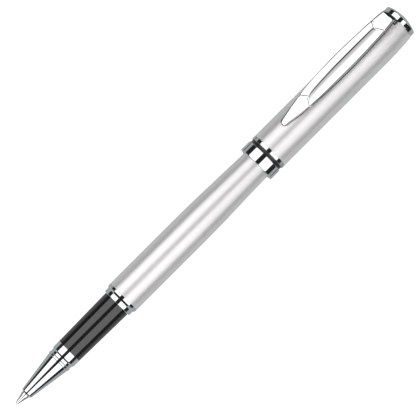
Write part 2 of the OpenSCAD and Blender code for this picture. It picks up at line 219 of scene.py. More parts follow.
ALUMINIUM = finish_material("turned_aluminium", (0.70, 0.70, 0.71), (0.80, 0.80, 0.81),
                            (0.2, 0.34), metallic=1.0, grain=1400, stretch=(16, 1, 1),
                            bump=0.3, bump_grain=2400, bump_stretch=(22, 1, 1))
REFILL_METAL = finish_material("drawn_refill_tube", (0.66, 0.665, 0.67), (0.76, 0.765, 0.77),
                               (0.22, 0.36), metallic=1.0, grain=1500, stretch=(0.6, 6, 6),
                               bump=0.15, bump_grain=3000, bump_stretch=(0.5, 8, 8))
SPRING_STEEL = finish_material("drawn_spring_wire", (0.50, 0.50, 0.51), (0.62, 0.62, 0.63),
                               (0.2, 0.35), metallic=1.0, grain=5000)
IVORY = finish_material("moulded_ivory_plastic", (0.70, 0.68, 0.61), (0.77, 0.75, 0.68),
                        (0.38, 0.5), grain=1600, bump=0.12, bump_grain=7000)
LINER = finish_material("moulded_white_liner", (0.74, 0.74, 0.73), (0.80, 0.80, 0.79),
                        (0.36, 0.5), grain=1400, bump=0.12, bump_grain=6000)
BLACK_PLASTIC = finish_material("moulded_black_plastic", (0.012, 0.012, 0.012),
                                (0.022, 0.022, 0.022), (0.42, 0.55), grain=2600,
                                bump=0.2, bump_grain=8000)
RUBBER = finish_material("matt_black_rubber", (0.010, 0.010, 0.010), (0.020, 0.020, 0.020),
                         (0.62, 0.8), grain=3600, bump=0.3, bump_grain=9000)
INK_FIBRE = finish_material("ink_soaked_fibre", (0.004, 0.006, 0.05), (0.012, 0.018, 0.12),
                            (0.7, 0.9), grain=2400, stretch=(0.15, 5, 5),
                            bump=0.8, bump_grain=5200, bump_stretch=(0.12, 5, 5))
WICK_FIBRE = finish_material("pressed_wick_fibre", (0.03, 0.04, 0.2), (0.09, 0.11, 0.4),
                             (0.7, 0.9), grain=2400, stretch=(0.15, 5, 5),
                             bump=0.6, bump_grain=6000, bump_stretch=(0.12, 5, 5))
CARBIDE = finish_material("polished_carbide", (0.22, 0.22, 0.23), (0.30, 0.30, 0.31),
                          (0.06, 0.12), metallic=1.0, grain=7000)


# ---------------------------------------------------------------- mesh helpers

SHARP = 32.0             # faces that meet at more than this angle keep a sharp edge
SUPPORT = 0.03           # a strip this wide beside each fillet keeps the flat next to it flat


def add_piece(name, mesh, body, material, sharp=SHARP):
    """Puts a mesh in the scene, smooth except where its faces meet sharply."""
    mesh.materials.append(material)
    mesh.shade_smooth()
    mesh.set_sharp_from_angle(angle=math.radians(sharp))
    piece = bpy.data.objects.new(name, mesh)
    SCENE.collection.objects.link(piece)
    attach(piece, body)
    return piece


def rounded(points, steps=4):
    """A closed outline whose corners are rounded: points are (station, radius[, fillet])."""
    out = []
    count = len(points)
    for i, p in enumerate(points):
        fillet = p[2] if len(p) > 2 else 0.0
        here = Vector(p[:2])
        if not fillet:
            out.append(tuple(here))
            continue
        before = Vector(points[i - 1][:2]) - here
        after = Vector(points[(i + 1) % count][:2]) - here
        half = before.angle(after) / 2
        reach = min(fillet / math.tan(half), before.length * 0.48, after.length * 0.48)
        arc_r = reach * math.tan(half)
        back, on = before.normalized(), after.normalized()
        centre = here + (back + on).normalized() * (arc_r / math.sin(half))
        a0, a1 = here + back * reach - centre, here + on * reach - centre
        turn = a0.angle(a1)
        out.append(tuple(here + back * min(reach + SUPPORT, before.length * 0.49)))
        for k in range(steps + 1):
            w0 = math.sin((1 - k / steps) * turn) / math.sin(turn)
            w1 = math.sin(k / steps * turn) / math.sin(turn)
            out.append(tuple(centre + a0 * w0 + a1 * w1))
        out.append(tuple(here + on * min(reach + SUPPORT, after.length * 0.49)))
    return out


def sweep_rows(mesh_name, rows, closed_rows, merge=2e-8):
    """A skin through rows of points; each row is a closed loop, and rows may close too."""
    bm = bmesh.new()
    verts = [[bm.verts.new(p) for p in row] for row in rows]
    count = len(rows)
    for i in range(count if closed_rows else count - 1):
        a, b = verts[i], verts[(i + 1) % count]
        for j in range(len(a)):
            k = (j + 1) % len(a)
            bm.faces.new((a[j], a[k], b[k], b[j]))
    if not closed_rows:
        bm.faces.new(verts[0])
        bm.faces.new(verts[-1])
    bmesh.ops.remove_doubles(bm, verts=bm.verts, dist=merge)
    bmesh.ops.dissolve_degenerate(bm, edges=bm.edges, dist=merge)
    bmesh.ops.recalc_face_normals(bm, faces=bm.faces)
    mesh = bpy.data.meshes.new(mesh_name)
    bm.to_mesh(mesh)
    bm.free()
    return mesh


def turned(name, outline, segments=160):
    """Mesh of a closed outline of (station, radius) turned about the pen's axis."""
    rows = []
    for j in range(segments):
        a = math.tau * j / segments
        c, s = math.cos(a), math.sin(a)
        rows.append([point(station, r * s, r * c) for station, r in outline])
    return sweep_rows(name, rows, closed_rows=True)


def turned_piece(name, outline, body, material, replaces, segments=160, sharp=SHARP):
    """A turned mesh in the scene, in place of its CAD node."""
    piece = add_piece(name, turned(name, outline, segments), body, material, sharp)
    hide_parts(replaces)
    return piece


def even(first, last, count):
    """Evenly spaced stations, both ends included."""
    return [first + (last - first) * i / count for i in range(count + 1)]


def smooth_curve(points, x):
    """Monotone cubic through (x, y) points."""
    xs = [p[0] for p in points]
    ys = [p[1] for p in points]
    if x <= xs[0]:
        return ys[0]
    if x >= xs[-1]:
        return ys[-1]
    slopes = [(ys[i + 1] - ys[i]) / (xs[i + 1] - xs[i]) for i in range(len(xs) - 1)]
    tangents = [slopes[0]]
    for left, right in zip(slopes, slopes[1:]):
        tangents.append(0.0 if left * right <= 0 else 2 * left * right / (left + right))
    tangents.append(slopes[-1])
    i = max(k for k in range(len(xs) - 1) if xs[k] <= x)
    h = xs[i + 1] - xs[i]
    t = (x - xs[i]) / h
    return ((2 * t ** 3 - 3 * t ** 2 + 1) * ys[i] + (t ** 3 - 2 * t ** 2 + t) * h * tangents[i]
            + (3 * t ** 2 - 2 * t ** 3) * ys[i + 1] + (t ** 3 - t ** 2) * h * tangents[i + 1])


# ---------------------------------------------------------------- refill

POINT_AT, POINT_END = span("refill_point")
NOSE_AT, GRIP_AT = span("nose_cone")
POINT_R = radius("refill_point")
CONE_END = 3.2
RIM_R = 0.42             # the cone's rim round the ball
SEAT_DEPTH = 0.3         # depth of the ball's seat behind the rim
INK_BORE = 0.3
STEP = (2.76, 2.86)      # a fine turned step on the cone


def cone_r(station):
    """Radius of the refill point's cone."""
    return RIM_R + (POINT_R - RIM_R) * (station - POINT_AT) / (CONE_END - POINT_AT)


SEAT_AT = POINT_AT + SEAT_DEPTH
turned_piece("refill_point_cone", rounded([
    (POINT_END, INK_BORE), (POINT_AT + 1.5, INK_BORE), (POINT_AT + 0.55, 0.2), (SEAT_AT, 0.37),
    (POINT_AT, 0.33), (POINT_AT, RIM_R - 0.02, 0.03), (SEAT_AT, cone_r(SEAT_AT) - 0.015),
    (SEAT_AT + 0.06, cone_r(SEAT_AT + 0.06)), (STEP[0], cone_r(STEP[0]) - 0.04),
    (STEP[1], cone_r(STEP[1]) + 0.01), (CONE_END, POINT_R, 0.2), (POINT_END, POINT_R, 0.05),
]), "refill", STEEL, "refill_point", segments=96)


# ---------------------------------------------------------------- section

NOSE_BORE = 1.3          # round the refill's point
SHOULDER_BORE = 2.1      # round the refill's shoulder
CORE_BORE = 3.06         # round the refill's tube
CONE_FRONT_R = 1.775
CONE_REAR_R = 3.65
BEAD_AT = GRIP_AT - 4.43 # the bead behind the cone
BASE_AT = GRIP_AT - 2.27 # the cylinder behind the bead
BASE_R = radius("nose_cone")
NECK_R = 3.55            # the section core's neck, which carries the nose cone and the grip
NECK_AT = GRIP_AT - 2.2
SEAT_REAR = GRIP_AT - 3.35

turned_piece("nose_cone_turned", rounded([
    (NOSE_AT, NOSE_BORE, 0.05), (NOSE_AT, CONE_FRONT_R - 0.25, 0.02),
    (NOSE_AT + 0.4, CONE_FRONT_R + 0.02, 0.02), (BEAD_AT, CONE_REAR_R - 0.07),
    (BEAD_AT + 0.16, CONE_REAR_R + 0.06), (BEAD_AT + 0.70, CONE_REAR_R + 0.12),
    (BEAD_AT + 0.90, CONE_REAR_R - 0.03), (BEAD_AT + 1.23, CONE_REAR_R - 0.01),
    (BASE_AT - 0.46, CONE_REAR_R), (BASE_AT - 0.10, BASE_R - 0.055), (BASE_AT, BASE_R, 0.05),
    (GRIP_AT, BASE_R, 0.06), (GRIP_AT, NECK_R), (NECK_AT, NECK_R), (NECK_AT, CORE_BORE),
    (SEAT_REAR, CORE_BORE), (SEAT_REAR, SHOULDER_BORE), (NOSE_AT + 4.4, SHOULDER_BORE),
    (NOSE_AT + 3.8, NOSE_BORE),
]), "section", CHROME, "nose_cone", segments=192, sharp=28)

GRIP_END = span("grip_sleeve")[1]
GRIP_FRONT_R, GRIP_REAR_R = 3.975, radius("grip_sleeve")
turned_piece("grip_sleeve_lacquered", rounded([
    (GRIP_AT, NECK_R), (GRIP_AT, GRIP_FRONT_R, 0.09), (GRIP_END, GRIP_REAR_R, 0.09),
    (GRIP_END, NECK_R),
]), "section", GRIP, "grip_sleeve", segments=192)

TRIM_AT = span("section_trim_ring")[0]
TRIM_REAR = span("barrel_front_ring")[0] - 0.01
TRIM_R = radius("section_trim_ring")
TRIM_BORE = NECK_R + 0.1
turned_piece("section_trim_ring_plated", rounded([
    (TRIM_AT, TRIM_BORE), (TRIM_AT, TRIM_R, 0.12), (TRIM_REAR, TRIM_R, 0.02),
    (TRIM_REAR, TRIM_BORE),
]), "trim_ring", CHROME, "section_trim_ring", segments=192)


# ---------------------------------------------------------------- screw joint

LEAD = 1.5
STARTS = 2
THREAD_PITCH = LEAD / STARTS
THREAD_DEPTH = 0.42
THREAD_ROOM = 0.05       # between the male and the female thread
FLANK, CREST = 0.22, 0.3 # of one pitch
RUNOUT = 0.5             # length over which a thread fades in and out


def thread_profile(phase):
    """Height of a trapezoid screw thread, 0 to 1, over one pitch."""
    phase %= 1.0
    if phase < FLANK:
        return phase / FLANK
    if phase < FLANK + CREST:
        return 1.0
    if phase < 2 * FLANK + CREST:
        return 1 - (phase - FLANK - CREST) / FLANK
    return 0.0


def screw_surface(first, last, root, crest, segments=96, rows_per_pitch=12):
    """Rows of radii along a two-start screw; each row is (station, [radius round the pen])."""
    rows = []
    count = round((last - first) / THREAD_PITCH * rows_per_pitch)
    for i in range(count + 1):
        station = first + (last - first) * i / count
        fade = min(1, (station - first) / RUNOUT, (last - station) / RUNOUT)
        ring = []
        for j in range(segments):
            phase = station / THREAD_PITCH - STARTS * j / segments
            ring.append(root + (crest - root) * thread_profile(phase) * max(0, fade))
        rows.append((station, ring))
    return rows


def screw_piece(name, before, screw, after, body, material, node):
    """A turned tube, one side of which is a screw. before and after are (station, radius)."""
    turns = [math.tau * j / len(screw[0][1]) for j in range(len(screw[0][1]))]
    loops = [(s, [r] * len(turns)) for s, r in before] + screw
    loops += [(s, [r] * len(turns)) for s, r in after]
    rows = [[point(station, r * math.sin(a), r * math.cos(a)) for a, r in zip(turns, ring)]
            for station, ring in loops]
    mesh = sweep_rows(name, rows, closed_rows=True)
    piece = add_piece(name, mesh, body, material, sharp=40)
    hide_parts(node)
    return piece


CORE_AT, CORE_END = span("section_core")
SCREW_R = radius("section_core")
SCREW_AT = CORE_END - 5.9
screw_piece("section_core_screw",
            [(CORE_AT, CORE_BORE), (CORE_AT, NECK_R - 0.08), (CORE_AT + 0.1, NECK_R),
             (SCREW_AT - 0.45, NECK_R), (SCREW_AT - 0.3, NECK_R)],
            screw_surface(SCREW_AT, CORE_END - 0.4, SCREW_R - THREAD_DEPTH, SCREW_R),
            [(CORE_END, SCREW_R - 0.6), (CORE_END, CORE_BORE)],
            "section", ALUMINIUM, "section_core")

BUSH_AT, BUSH_END = span("thread_bush")
BUSH_R = radius("thread_bush")
BUSH_BORE = SCREW_R + 0.35
screw_piece("thread_bush_screw",
            [(BUSH_AT, BUSH_R), (BUSH_AT, SCREW_R + 0.4)],
            screw_surface(BUSH_AT + 0.4, BUSH_END - 1.2, BUSH_BORE, SCREW_R + THREAD_ROOM),
            [(BUSH_END - 1.0, BUSH_BORE), (BUSH_END, BUSH_BORE), (BUSH_END, BUSH_R)],
            "barrel", BRASS, "thread_bush")


# ---------------------------------------------------------------- barrel

RING_AT, TUBE_AT = span("barrel_front_ring")
BARREL_R = radius("barrel_tube")
RING_BORE = 4.3
RING_CONE = 0.6          # length of the ring's conical front
RING_SOCKET = 0.6        # depth of the bush's seat in it
turned_piece("barrel_front_ring_plated", rounded([
    (RING_AT, RING_BORE, 0.05), (RING_AT, TRIM_R), (RING_AT + RING_CONE, BARREL_R, 0.08),
    (TUBE_AT, BARREL_R, 0.03), (TUBE_AT, BUSH_R), (TUBE_AT - RING_SOCKET, BUSH_R),
    (TUBE_AT - RING_SOCKET, RING_BORE),
]), "barrel", CHROME, "barrel_front_ring", segments=192)

TUBE_END = span("barrel_tube")[1]
BARREL_STRAIGHT = 25.2
TAPER_ANGLE = math.radians(1.65)
TAPER_BLEND_R = 400.0
WALL = 0.55
TAPER_AT = TUBE_AT + BARREL_STRAIGHT
BLEND_LEN = TAPER_BLEND_R * math.sin(TAPER_ANGLE)
BLEND_DROP = TAPER_BLEND_R * (1 - math.cos(TAPER_ANGLE))


def barrel_r(station):
    """Outer radius of the barrel tube: cylinder, blend, taper."""
    past = station - TAPER_AT
    if past <= 0:
        return BARREL_R
    if past < BLEND_LEN:
        return BARREL_R - TAPER_BLEND_R + math.sqrt(TAPER_BLEND_R ** 2 - past ** 2)
    return BARREL_R - BLEND_DROP - (past - BLEND_LEN) * math.tan(TAPER_ANGLE)


outer = [(TUBE_AT, BARREL_R, 0.05)] + [(s, BARREL_R) for s in even(TUBE_AT + 2, TAPER_AT, 5)]
outer += [(s, barrel_r(s)) for s in even(TAPER_AT, TAPER_AT + BLEND_LEN, 24)[1:]]
outer += [(s, barrel_r(s)) for s in even(TAPER_AT + BLEND_LEN, TUBE_END, 10)[1:-1]]
outer += [(TUBE_END, barrel_r(TUBE_END), 0.03)]
inner = [(s, barrel_r(s) - WALL) for s in reversed(even(BUSH_END, TUBE_END, 24))]
inner += [(BUSH_END, BUSH_R), (TUBE_AT, BUSH_R)]
turned_piece("barrel_tube_lacquered", rounded(outer + inner), "barrel", SATIN,
             "barrel_tube", segments=192, sharp=40)

TAIL_AT, BARREL_END = span("barrel_tail_plug")
PLUG_SEAT = TAIL_AT + 1
PLUG_PIN_R = 1.6         # the pin that centres the spring
TUBE_END_R = barrel_r(TUBE_END)
DIMPLE_AT = BARREL_END - 0.25
turned_piece("barrel_tail_plug_turned", rounded([
    (TAIL_AT, 0), (TAIL_AT, PLUG_PIN_R, 0.15), (PLUG_SEAT, PLUG_PIN_R),
    (PLUG_SEAT, barrel_r(PLUG_SEAT) - WALL, 0.06), (TUBE_END, TUBE_END_R - WALL),
    (TUBE_END, TUBE_END_R, 0.04), (DIMPLE_AT, TUBE_END_R - 0.1, 0.2),
    (BARREL_END, TUBE_END_R - 0.6, 0.15), (BARREL_END, 1.0, 0.05), (DIMPLE_AT, 0.7, 0.05),
    (DIMPLE_AT, 0),
]), "barrel", DARK, "barrel_tail_plug")


def spring_mesh(name, first, last, coil_r, wire_r, turns, end_turns, sides=12, per_turn=40):
    """Compression spring with closed end coils."""
    total = turns + 2 * end_turns
    steps = round(total * per_turn)
    low, high = first + wire_r, last - wire_r
    closed = 2 * wire_r * end_turns
    rows = []
    for i in range(steps + 1):
        t = total * i / steps
        if t < end_turns:
            s = low + closed * t / end_turns
        elif t > total - end_turns:
            s = high - closed * (total - t) / end_turns
        else:
            s = low + closed + (high - low - 2 * closed) * (t - end_turns) / turns
        a = math.tau * t
        row = []
        for k in range(sides):
            b = math.tau * k / sides
            r = coil_r + wire_r * math.cos(b)
            row.append(point(s + wire_r * math.sin(b), r * math.sin(a), r * math.cos(a)))
        rows.append(row)
    return sweep_rows(name, rows, closed_rows=False)


SPRING_AT, SPRING_END = span("refill_spring")
coil = spring_mesh("refill_spring_coil", SPRING_AT, SPRING_END, coil_r=2.3, wire_r=0.16,
                   turns=4, end_turns=1)
spring = add_piece("refill_spring_coil", coil, "barrel", SPRING_STEEL, sharp=60)
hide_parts("refill_spring")
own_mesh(spring)


# ---------------------------------------------------------------- cap

CAP_AT, LIP_END = span("cap_lip_ring")
NARROW_AT, CAP_TUBE_AT = span("cap_trim_ring")
CAP_RING_R = radius("cap_lip_ring")
BUSH_FRONT, CAP_BUSH_END = span("cap_bush")
MOUTH_R = 4.9
RING_SEAT = 5.3
turned_piece("cap_lip_ring_plated", rounded([
    (CAP_AT, MOUTH_R, 0.12), (CAP_AT, CAP_RING_R, 0.3), (LIP_END, CAP_RING_R, 0.2),
    (LIP_END, RING_SEAT), (CAP_AT + 1, RING_SEAT), (CAP_AT + 1, MOUTH_R),
], steps=6), "cap", CHROME, "cap_lip_ring", segments=192)
turned_piece("cap_trim_ring_plated", rounded([
    (NARROW_AT, RING_SEAT), (NARROW_AT, CAP_RING_R, 0.13), (CAP_TUBE_AT, CAP_RING_R, 0.06),
    (CAP_TUBE_AT, RING_SEAT),
], steps=6), "cap", CHROME, "cap_trim_ring", segments=192)

GROOVE_MID = (LIP_END + NARROW_AT) / 2
GROOVE_R = CAP_RING_R - 0.42
GROOVE_RISE = 0.12       # from the groove's middle to its sides
CAP_BORE = radius("cap_bush")
turned_piece("cap_bush_turned", rounded([
    (BUSH_FRONT, MOUTH_R), (BUSH_FRONT, RING_SEAT), (LIP_END, RING_SEAT),
    (LIP_END, GROOVE_R + GROOVE_RISE), (GROOVE_MID, GROOVE_R, 0.5),
    (NARROW_AT, GROOVE_R + GROOVE_RISE),
    (NARROW_AT, RING_SEAT), (CAP_TUBE_AT, RING_SEAT), (CAP_TUBE_AT, CAP_BORE),
    (CAP_BUSH_END, CAP_BORE), (CAP_BUSH_END, MOUTH_R),
]), "cap", DARK, "cap_bush")

CAP_TUBE_END = span("cap_tube")[1]
CAP_R = radius("cap_tube")
CAP_CURVE_AT = CAP_TUBE_END - 10.5
CAP_CURVE_R = 116.0
CAP_WALL = 0.5
FINIAL_AT, PEN_END = span("finial")


def cap_r(station):
    """Outer radius of the cap tube: cylinder, then closing in towards the finial."""
    past = station - CAP_CURVE_AT
    return CAP_R if past <= 0 else CAP_R - CAP_CURVE_R + math.sqrt(CAP_CURVE_R ** 2 - past ** 2)


TONGUE_W = 4.1
TONGUE_T = 0.65
TONGUE_AT = FINIAL_AT - 1.25
TONGUE_FOOT = 4.0        # height of the tongue's lower end above the axis
NOTCH_ROOM = 0.28


def cut_notch(piece):
    """Cuts the notch for the clip's tongue out of a piece in the cap's end."""
    half = TONGUE_W / 2 + NOTCH_ROOM
    bm = bmesh.new()
    bmesh.ops.create_cube(bm, size=1.0)
    low = point(TONGUE_AT - NOTCH_ROOM, -half, TONGUE_FOOT - NOTCH_ROOM)
    top = point(FINIAL_AT + 1, half, CAP_R + 2)
    for v in bm.verts:
        v.co = Vector(low[i] if v.co[i] < 0 else top[i] for i in range(3))
    mesh = bpy.data.meshes.new("notch_cutter")
    bm.to_mesh(mesh)
    bm.free()
    cutter = bpy.data.objects.new("notch_cutter", mesh)
    SCENE.collection.objects.link(cutter)
    modifier = piece.modifiers.new("notch", "BOOLEAN")
    modifier.operation = "DIFFERENCE"
    modifier.solver = "EXACT"
    modifier.object = cutter
    bpy.context.view_layer.update()
    graph = bpy.context.evaluated_depsgraph_get()
    result = bpy.data.meshes.new_from_object(piece.evaluated_get(graph), depsgraph=graph)
    piece.modifiers.clear()
    old = piece.data
    piece.data = result
    result.name = piece.name
    bpy.data.meshes.remove(old)
    bpy.data.objects.remove(cutter)
    bpy.data.meshes.remove(mesh)
    piece.data.shade_smooth()
    piece.data.set_sharp_from_angle(angle=math.radians(SHARP))


outer = [(CAP_TUBE_AT, CAP_R, 0.04)]
outer += [(s, CAP_R) for s in even(CAP_TUBE_AT + 2, CAP_CURVE_AT, 10)]
outer += [(s, cap_r(s)) for s in even(CAP_CURVE_AT, CAP_TUBE_END, 18)[1:-1]]
outer += [(CAP_TUBE_END, cap_r(CAP_TUBE_END), 0.04)]
inner = [(s, cap_r(s) - CAP_WALL) for s in reversed(even(CAP_CURVE_AT, CAP_TUBE_END, 12))]
inner += [(CAP_TUBE_AT, CAP_R - CAP_WALL)]
cut_notch(turned_piece("cap_tube_lacquered", rounded(outer + inner), "cap", SATIN,
                       "cap_tube", segments=192))

RETAINER_AT, RETAINER_END = span("clip_retainer")
RETAINER_GAP = 0.005     # inside the cap tube
STUD_R = 1.5
side = [(s, cap_r(s) - CAP_WALL - RETAINER_GAP) for s in even(RETAINER_AT, CAP_TUBE_END, 12)]
cut_notch(turned_piece("clip_retainer_turned", rounded(
    [(RETAINER_AT, STUD_R)] + side + [(RETAINER_END, side[-1][1], 0.04), (RETAINER_END, STUD_R)]
), "cap", DARK, "clip_retainer", segments=128))

FINIAL_R = radius("finial")
FINIAL_BAND = 1.4        # the cylinder before the rounded edge
FINIAL_EDGE = 0.22
FINIAL_SOCKET = 1.25     # depth of the stud's hole
DOME_EDGE_R = FINIAL_R - FINIAL_EDGE
DOME_AT = FINIAL_AT + FINIAL_BAND + FINIAL_EDGE
DOME_RISE = PEN_END - DOME_AT
DOME_R = (DOME_EDGE_R ** 2 + DOME_RISE ** 2) / (2 * DOME_RISE)
dome = [(PEN_END - DOME_R + math.sqrt(DOME_R ** 2 - r ** 2), r)
        for r in (DOME_EDGE_R * (1 - i / 16) for i in range(17))]
turned_piece("finial_plated", rounded(
    [(FINIAL_AT, STUD_R), (FINIAL_AT, FINIAL_R, 0.1), (FINIAL_AT + FINIAL_BAND, FINIAL_R, 0.3)]
    + dome + [(FINIAL_AT + FINIAL_SOCKET, 0), (FINIAL_AT + FINIAL_SOCKET, STUD_R)], steps=5
), "cap", CHROME, "finial", segments=192)


# ---------------------------------------------------------------- clip

CLIP_AT = span("clip")[0]
CLIP_END = TONGUE_AT + TONGUE_T
CLIP_TOP = (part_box("clip")[1].z - AXIS_Z) / MM
CLIP_UNDER = CAP_R + 0.45
CLIP_TOUCH = CAP_R + 0.04
PAD_R = 1.05
LEAF_AT = CLIP_AT + 9.3
LEAF_END = TONGUE_AT - 3.95
LOW_APEX = LEAF_AT + 1.4
HIGH_APEX = LEAF_END - 1.2
LOW_SLANT = -math.tan(math.radians(33))
HIGH_SLANT = math.tan(math.radians(27))
LEAF_W = radius("clip")
HEAD_SLOPE = 0.7         # length and drop of the slope at the head's end, above the tongue
HEAD_DROP = 0.42
HEAD_BEND = 1.15         # 1 is a straight slope, and more is a rounder one

# along the clip: its half width seen from above, the height of its spine, that of its underside
HALF_WIDTHS = [(CLIP_AT + PAD_R, PAD_R), (LEAF_AT, 2.15), (LEAF_AT + 7.5, 2.85),
               (LEAF_AT + 15.6, LEAF_W), (LEAF_AT + 23, 2.78), (LEAF_END - 1.2, 2.5),
               (LEAF_END, 2.38), (CLIP_END, 2.04)]
SPINE = [(CLIP_AT, CLIP_TOP - 1.35), (CLIP_AT + 2, CLIP_TOP - 1.12), (LEAF_AT, CLIP_TOP - 0.88),
         (LOW_APEX, CLIP_TOP - 0.82), (LOW_APEX + 5, CLIP_TOP - 0.38),
         (LOW_APEX + 12, CLIP_TOP - 0.02), (CLIP_END - 8, CLIP_TOP), (CLIP_END - 1, CLIP_TOP)]
UNDERSIDE = [(CLIP_AT, CLIP_TOUCH + 0.12), (CLIP_AT + 1.2, CLIP_TOUCH), (CLIP_AT + 5.5, CLIP_TOUCH),
             (CLIP_AT + 10, CLIP_UNDER), (CLIP_END, CLIP_UNDER)]
# the flute: the half width of its +Y side from the lower to the upper point of the leaf
FLUTE_W = FLUTE_EDGES[1]
FLUTE_INSET = 0.06       # from each crease's middle to the flute's point
FLUTE_LOW_SCALE = 0.9    # the -Y side narrows no further than this towards the points
FLUTE = [(0, 0.0), (0.03, 0.42), (0.08, 0.74), (0.2, 0.98), (0.39, 1.17), (0.6, FLUTE_W),
         (0.8, 1.24), (0.95, 1.16), (0.985, 1.0), (1, 0.5)]
# and its depth across, from the -Y to the +Y edge, where it is widest
FLUTE_DEPTH = [(FLUTE_EDGES[0], 0.0), (-1.60, 0.010), (0.08, 0.158), (0.20, 0.165), (0.33, 0.157),
               (0.72, 0.008), (0.82, 0.0), (FLUTE_EDGES[1], 0.0)]
CROWN = 0.10                     # drop of the top face from its middle to its edges
CREASE_DEPTH = 0.15
CREASE_INNER = 0.20              # half the width of a crease's bottom
CREASE_OUTER = 0.40              # and of the whole crease
NEAR_CHAMFER = (0.12, 0.061)     # width and drop of the bevel along the -Y edge
FAR_CHAMFER = (0.15, 0.040)      # and along the +Y edge
FOOT = (0.13, 0.30)              # flare of the -Y side's foot: out and up
TIP_CHAMFER = (0.30, 0.20)       # length and drop
EDGE = 0.05                      # bevels along the underside
CHAMFER_SHARE = 0.3              # of the half width that a bevel may take, where the clip is narrow
FLUTE_SHARES = (0.3, 0.6)        # of the half width that the flute's columns take
FLUTE_FLOOR = CLIP_TOP - 1.2     # faces of the flute all lie above this height


def clip_half_width(station):
    """Half the width of the clip seen from above: a round pad, then the leaf."""
    if station < CLIP_AT + PAD_R:
        reach = CLIP_AT + PAD_R - station
        return math.sqrt(max(PAD_R ** 2 - reach ** 2, 0.0))
    return smooth_curve(HALF_WIDTHS, station)


def slant(u):
    """How far the rows of the clip's skin lean into a V, so that they follow the creases."""
    return smooth_curve([(CLIP_AT + 2, 0.0), (LOW_APEX - 2, LOW_SLANT), (LOW_APEX + 1, LOW_SLANT),
                         (HIGH_APEX - 1, HIGH_SLANT), (HIGH_APEX + 1.5, HIGH_SLANT),
                         (CLIP_END - 1.6, 0.0)], u)


def flute_half_width(u):
    """Half width of the flute's +Y side, or 0 beyond its points."""
    t = (u - LOW_APEX - FLUTE_INSET) / (HIGH_APEX - LOW_APEX - 2 * FLUTE_INSET)
    return smooth_curve(FLUTE, t) if 0 < t <= 1 else 0.0


def flute_place(u, across):
    """Where a point lies across the flute, as if it were at the flute's widest."""
    scale = max(flute_half_width(u) / FLUTE_W, 0.01)
    return across / (scale if across > 0 else max(scale, FLUTE_LOW_SCALE))


def in_flute(u, across):
    """Whether a point lies between the flute's edges."""
    return flute_half_width(u) > 0 and FLUTE_EDGES[0] < flute_place(u, across) < FLUTE_EDGES[1]


def top_height(u, across, half_width):
    """Height of the clip's top face above the axis."""
    height = smooth_curve(SPINE, u) - CROWN * (across / max(half_width, 0.3)) ** 2
    if in_flute(u, across):
        depth = smooth_curve(FLUTE_DEPTH, flute_place(u, across))
        height -= flute_half_width(u) / FLUTE_W * depth
    off = min(abs(u - LOW_APEX), abs(u - HIGH_APEX))
    crease = (CREASE_OUTER - off) / (CREASE_OUTER - CREASE_INNER)
    height -= CREASE_DEPTH * min(1.0, max(0.0, crease))
    height -= TIP_CHAMFER[1] * max(0.0, 1 - (u - CLIP_AT) / TIP_CHAMFER[0])
    height -= HEAD_DROP * max(0.0, 1 - (CLIP_END - u) / HEAD_SLOPE) ** HEAD_BEND
    return height


def clip_stations():
    """Where the clip's cross-sections stand, closer at its tip, creases and head slope."""
    tip = [CLIP_AT + PAD_R * (1 - math.cos(math.pi / 2 * i / 14)) for i in range(1, 14)]
    slope = even(CLIP_END - HEAD_SLOPE, CLIP_END, 6)
    creases = [apex + side * off for apex in (LOW_APEX, HIGH_APEX) for side in (-1, 1)
               for off in (CREASE_INNER, CREASE_OUTER)]
    points = [LOW_APEX + 0.08 + 0.15 * i for i in range(14)]
    points += [HIGH_APEX - 0.08 - 0.08 * i for i in range(12)]
    plain = even(CLIP_AT + PAD_R, CLIP_END - HEAD_SLOPE, 90)
    fixed = tip + slope + creases + points + [LOW_APEX, HIGH_APEX]
    return sorted(fixed + [s for s in plain if min(abs(s - f) for f in fixed) > 0.12])


# columns of the clip's skin across the flute, in half widths of it, closest at its sharp bends,
# and how many gaps the flat beside it has on each side
FLUTE_COLUMNS = [y / FLUTE_W for y, _ in FLUTE_DEPTH[:2]]
FLUTE_COLUMNS += [-1.0, -0.7, -0.45, -0.2, -0.07, 0.02, 0.1, 0.16, 0.21, 0.26, 0.3, 0.34, 0.38,
                  0.42, 0.46, 0.5, 0.54, 0.57, 0.6, 0.64, 0.7, 0.85, 1.0]
FLAT_COLUMNS = 5


def clip_rows():
    """Cross-sections of the clip arm from the pad's tip to the tongue's outer face."""
    rows = []
    for u in clip_stations():
        w = clip_half_width(u)
        lean = slant(u)
        near, near_drop = (min(size, CHAMFER_SHARE * w) for size in NEAR_CHAMFER)
        far, far_drop = (min(size, CHAMFER_SHARE * w) for size in FAR_CHAMFER)
        flute = min(max(flute_half_width(u), FLUTE_SHARES[0] * w), FLUTE_SHARES[1] * w)
        ys = even(near - w, flute * FLUTE_COLUMNS[0], FLAT_COLUMNS)[:-1]
        ys += [flute * column for column in FLUTE_COLUMNS]
        ys += even(flute, w - far, FLAT_COLUMNS)[1:]
        under = smooth_curve(UNDERSIDE, u)
        foot = min(FOOT[1], 0.4 * (top_height(u, 0.9 * w, w) - under))
        flare = FOOT[0] * foot / FOOT[1] * min(1.0, w)
        outline = [(y, top_height(u, y, w)) for y in ys]
        outline += [(w, outline[-1][1] - far_drop), (w, under + EDGE), (w - EDGE, under),
                    (0.04 - w - flare, under), (-w - flare, under + EDGE), (-w, under + foot),
                    (-w, outline[0][1] - near_drop)]
        rows.append([point(u + lean * min(abs(y), w), y, z) for y, z in outline])
    return rows


